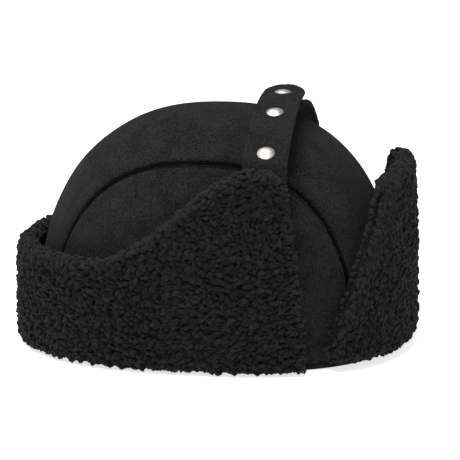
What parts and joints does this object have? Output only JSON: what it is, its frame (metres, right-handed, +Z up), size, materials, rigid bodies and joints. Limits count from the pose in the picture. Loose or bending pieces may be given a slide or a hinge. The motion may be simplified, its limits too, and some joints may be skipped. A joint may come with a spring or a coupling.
{
  "type": "trapper hat",
  "caption": "Trapper hat: wool crown, turned-up pile cuff with ear flaps, turned-up front flap, and a snap strap over the crown.",
  "frame": {"origin": "centre of the rim on the surface the hat rests on", "axes": "+Z up; -Y is the wearer's front; -X is the wearer's right"},
  "size_m": [0.218, 0.2579, 0.1595],
  "materials": {
    "wool": "thick black wool melton, matte with a soft nap",
    "strap_wool": "black wool melton, two plies, edge stitched",
    "pile": "black curly pile, matte",
    "lining": "black satin lining, faint gloss",
    "sweatband_tape": "black grosgrain tape",
    "wadding": "white fibre wadding",
    "label_weave": "grey woven tape, blank",
    "snap_cap_metal": "nickel plate, satin",
    "snap_metal": "nickel plated brass, satin",
    "spring_wire": "spring wire"
  },
  "bodies": {
    "crown": {"crown_centre_panel": "wool", "crown_side_panel_right": "wool", "crown_side_panel_left": "wool", "wadding_centre_panel": "wadding", "wadding_side_panel_right": "wadding", "wadding_side_panel_left": "wadding", "lining_centre_panel": "lining", "lining_side_panel_right": "lining", "lining_side_panel_left": "lining", "sweatband": "sweatband_tape", "rim_facing": "pile", "blank_label": "label_weave"},
    "right_ear_flap": {"right_ear_flap_shell": "wool", "right_ear_flap_pile": "pile", "right_strap_tab": "strap_wool"},
    "right_quarter": {"right_quarter_shell": "wool", "right_quarter_pile": "pile"},
    "right_nape": {"right_nape_shell": "wool", "right_nape_pile": "pile"},
    "left_ear_flap": {"left_ear_flap_shell": "wool", "left_ear_flap_pile": "pile", "left_strap_tab": "strap_wool"},
    "left_quarter": {"left_quarter_shell": "wool", "left_quarter_pile": "pile"},
    "left_nape": {"left_nape_shell": "wool", "left_nape_pile": "pile"},
    "back_nape": {"back_nape_shell": "wool", "back_nape_pile": "pile"},
    "front_flap": {"front_flap_shell": "wool", "front_flap_pile": "pile"},
    "front_right_wing": {"front_right_wing_shell": "wool", "front_right_wing_pile": "pile"},
    "front_left_wing": {"front_left_wing_shell": "wool", "front_left_wing_pile": "pile"},
    "right_strap": {"right_strap_face": "strap_wool", "right_strap_back": "strap_wool", "snap_caps": "snap_cap_metal", "snap_sockets": "snap_metal", "socket_springs": "spring_wire"},
    "right_strap_tip": {"strap_tip_face": "strap_wool", "strap_tip_back": "strap_wool", "tip_snap_cap": "snap_cap_metal", "tip_snap_socket": "snap_metal", "tip_socket_spring": "spring_wire"},
    "left_strap": {"left_strap_face": "strap_wool", "left_strap_back": "strap_wool", "snap_stud": "snap_metal", "snap_post": "snap_metal"}
  },
  "joints": [
    {"name": "cuff_fold", "type": "hinge", "parent": "crown", "child": "back_nape", "pos_m": [0, 0.12555, 0], "axis": [-1, 0, 0], "range_deg": [0, 172]},
    {"name": "right_ear_flap_fold", "type": "hinge", "parent": "crown", "child": "right_ear_flap", "pos_m": [-0.10393, -0.02811, 0], "axis": [0.1203, -0.9927, 0], "range_deg": [0, 172]},
    {"name": "left_ear_flap_fold", "type": "hinge", "parent": "crown", "child": "left_ear_flap", "pos_m": [0.10393, -0.02811, 0], "axis": [0.1203, 0.9927, 0], "range_deg": [0, 172]},
    {"name": "right_quarter_fold", "type": "hinge", "parent": "crown", "child": "right_quarter", "pos_m": [-0.10211, 0.04744, 0], "axis": [-0.2153, -0.9765, 0], "range_deg": [0, 172]},
    {"name": "left_quarter_fold", "type": "hinge", "parent": "crown", "child": "left_quarter", "pos_m": [0.10211, 0.04744, 0], "axis": [-0.2153, 0.9765, 0], "range_deg": [0, 172]},
    {"name": "right_nape_fold", "type": "hinge", "parent": "crown", "child": "right_nape", "pos_m": [-0.06671, 0.10259, 0], "axis": [-0.7767, -0.6299, 0], "range_deg": [0, 172]},
    {"name": "left_nape_fold", "type": "hinge", "parent": "crown", "child": "left_nape", "pos_m": [0.06671, 0.10259, 0], "axis": [-0.7767, 0.6299, 0], "range_deg": [0, 172]},
    {"name": "front_flap_fold", "type": "hinge", "parent": "crown", "child": "front_flap", "pos_m": [0, -0.12361, 0.0038], "axis": [1, 0, 0], "range_deg": [0, 150]},
    {"name": "front_right_wing_fold", "type": "hinge", "parent": "crown", "child": "front_right_wing", "pos_m": [-0.0695, -0.1026, 0.0038], "axis": [0.7593, -0.6508, 0], "range_deg": [0, 150]},
    {"name": "front_left_wing_fold", "type": "hinge", "parent": "crown", "child": "front_left_wing", "pos_m": [0.0695, -0.1026, 0.0038], "axis": [0.7593, 0.6508, 0], "range_deg": [0, 150]},
    {"name": "right_strap_lift", "type": "hinge", "parent": "right_ear_flap", "child": "right_strap", "pos_m": [-0.0825, -0.042, 0.12809], "axis": [0, -1, 0], "range_deg": [0, 110]},
    {"name": "snap_tip_peel", "type": "hinge", "parent": "right_strap", "child": "right_strap_tip", "pos_m": [-0.0203, -0.042, 0.15565], "axis": [0, -1, 0], "range_deg": [0, 85]},
    {"name": "left_strap_lift", "type": "hinge", "parent": "left_ear_flap", "child": "left_strap", "pos_m": [0.0825, -0.042, 0.12671], "axis": [0, 1, 0], "range_deg": [0, 66]}
  ],
  "couplings": [
    {"joint": "right_ear_flap_fold", "follows": "cuff_fold", "ratio": 1},
    {"joint": "left_ear_flap_fold", "follows": "cuff_fold", "ratio": 1},
    {"joint": "right_quarter_fold", "follows": "cuff_fold", "ratio": 1},
    {"joint": "left_quarter_fold", "follows": "cuff_fold", "ratio": 1},
    {"joint": "right_nape_fold", "follows": "cuff_fold", "ratio": 1},
    {"joint": "left_nape_fold", "follows": "cuff_fold", "ratio": 1},
    {"joint": "front_right_wing_fold", "follows": "front_flap_fold", "ratio": 1},
    {"joint": "front_left_wing_fold", "follows": "front_flap_fold", "ratio": 1},
    {"joint": "left_strap_lift", "follows": "right_strap_lift", "ratio": 0.6}
  ]
}
